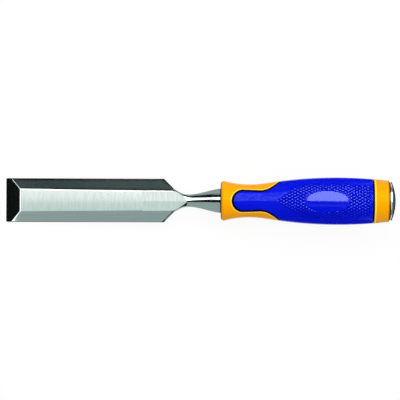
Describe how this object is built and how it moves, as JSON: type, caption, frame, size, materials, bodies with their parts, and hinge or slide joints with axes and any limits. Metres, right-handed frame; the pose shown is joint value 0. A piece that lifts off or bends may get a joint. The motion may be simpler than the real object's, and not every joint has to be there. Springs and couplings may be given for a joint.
{
  "type": "bench chisel",
  "caption": "Bevel-edge bench chisel: ground steel blade with forged neck, soft-grip handle on a hard core and a domed steel striking cap.",
  "frame": {"origin": "middle of the cutting edge, on the flat back of the blade", "axes": "+X from the cutting edge to the striking cap, along the tool; +Y across the blade; +Z out of the flat back, towards the bevelled face"},
  "size_m": [0.2853, 0.0348, 0.0347],
  "materials": {
    "blade_steel": "ground bevels and top face, polished neck and cone",
    "core_plastic": "satin moulded, yellow",
    "grip_rubber": "moulded soft, blue, with a diamond pattern of raised pips and a plain glossy oval pad",
    "cap_steel": "turned and polished"
  },
  "bodies": {
    "root": {"blade": "blade_steel", "handle_core": "core_plastic", "grip_sleeve": "grip_rubber", "strike_cap": "cap_steel"}
  },
  "joints": []
}
